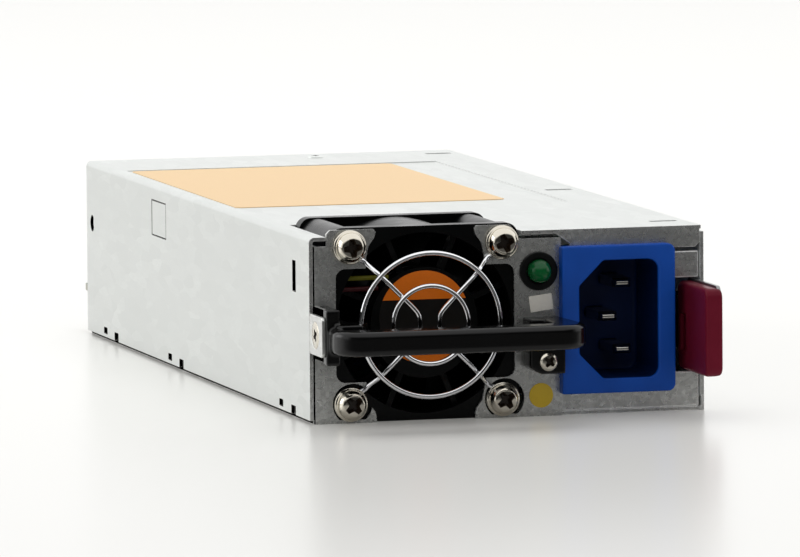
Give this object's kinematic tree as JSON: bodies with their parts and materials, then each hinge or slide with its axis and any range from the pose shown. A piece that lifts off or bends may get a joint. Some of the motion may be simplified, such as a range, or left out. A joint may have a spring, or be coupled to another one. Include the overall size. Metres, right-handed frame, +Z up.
{
  "type": "server power supply",
  "caption": "Hot swap power supply for a rack server: flat steel case with fan, wire guard, mains inlet, carry handle, side latch, status lamp and a rear card edge.",
  "frame": {"origin": "middle of the case's underside: half way across the case's width and half way along its length", "axes": "+X to the right seen from the front, +Y from the front towards the card edge at the rear, +Z up"},
  "size_m": [0.0875, 0.225, 0.0409],
  "materials": {
    "galvanised_steel": "satin",
    "front_steel": "satin",
    "nickel_plate": "polished",
    "bright_wire": "polished",
    "strap_steel": "satin",
    "spring_steel": "satin",
    "black_plastic": "satin",
    "handle_plastic": "satin",
    "blue_plastic": "satin",
    "maroon_plastic": "satin",
    "green_lens": "gloss",
    "orange_label": "matt",
    "hub_label_print": "matt",
    "white_label": "matt",
    "yellow_label": "matt",
    "lead_insulation": "satin",
    "black_insulation": "satin",
    "board_laminate": "satin",
    "insulating_film": "satin",
    "ferrite": "matt",
    "copper_winding": "satin",
    "winding_tape": "satin",
    "can_sleeve": "satin",
    "heatsink_metal": "satin",
    "contact_gold": "polished",
    "fuse_glass": "gloss",
    "brass_part": "satin",
    "bronze_bush": "satin",
    "magnet_rubber": "matt",
    "component_plastic": "satin",
    "epoxy_black": "matt",
    "white_nylon": "satin"
  },
  "bodies": {
    "case": {"top_cover": "galvanised_steel", "base_tray": "galvanised_steel", "rear_panel": "galvanised_steel", "inlet_panel": "galvanised_steel", "front_plate_left": "front_steel", "front_plate_right": "front_steel", "cover_screw": "nickel_plate", "top_label": "orange_label", "white_sticker": "white_label", "yellow_sticker": "yellow_label", "fan_frame": "black_plastic", "fan_bearings": "bronze_bush", "fan_stator": "copper_winding", "fan_hub_label": "hub_label_print", "fan_leads": "lead_insulation", "fan_motor_mount": "black_plastic", "fan_plug": "white_nylon", "fan_guard": "bright_wire", "fan_screws": "nickel_plate", "lamp_holder": "black_plastic", "status_lamp": "green_lens", "inlet_body": "blue_plastic", "inlet_pins": "nickel_plate", "inlet_leads": "black_insulation", "handle": "handle_plastic", "handle_strap": "strap_steel", "handle_side_screw": "nickel_plate", "handle_foot_screw": "nickel_plate", "latch_pin": "spring_steel", "latch_spring": "spring_steel", "main_board": "board_laminate", "insulation_sheet": "insulating_film", "board_posts": "brass_part", "board_screws": "nickel_plate", "filter_choke": "copper_winding", "filter_capacitors": "component_plastic", "line_fuse": "fuse_glass", "fuse_clips": "brass_part", "inrush_relay": "component_plastic", "bulk_capacitors": "can_sleeve", "capacitor_saddle": "white_nylon", "boost_choke": "copper_winding", "primary_heatsink": "heatsink_metal", "power_transistors": "epoxy_black", "bridge_rectifier": "epoxy_black", "transformer_core": "ferrite", "transformer_winding": "winding_tape", "output_choke": "copper_winding", "output_heatsink": "heatsink_metal", "output_capacitors": "can_sleeve", "control_card": "board_laminate", "control_chips": "epoxy_black", "edge_board": "board_laminate", "busbars": "brass_part", "edge_contacts": "contact_gold"},
    "fan_wheel": {"fan_rotor": "black_plastic", "fan_magnet_ring": "magnet_rubber", "fan_shaft": "spring_steel"},
    "latch": {"latch_arm": "spring_steel", "latch_tab": "maroon_plastic"}
  },
  "joints": [
    {"name": "fan_spin", "type": "hinge", "parent": "case", "child": "fan_wheel", "pos_m": [-0.01784, -0.0818, 0.0205], "axis": [0, 1, 0], "continuous": true},
    {"name": "latch_press", "type": "hinge", "parent": "case", "child": "latch", "pos_m": [0.03935, -0.0258, 0.0192], "axis": [0, 0, 1], "range_deg": [-1.6, 0], "stiffness_Nm_per_rad": 9, "springref_deg": 1.72}
  ]
}
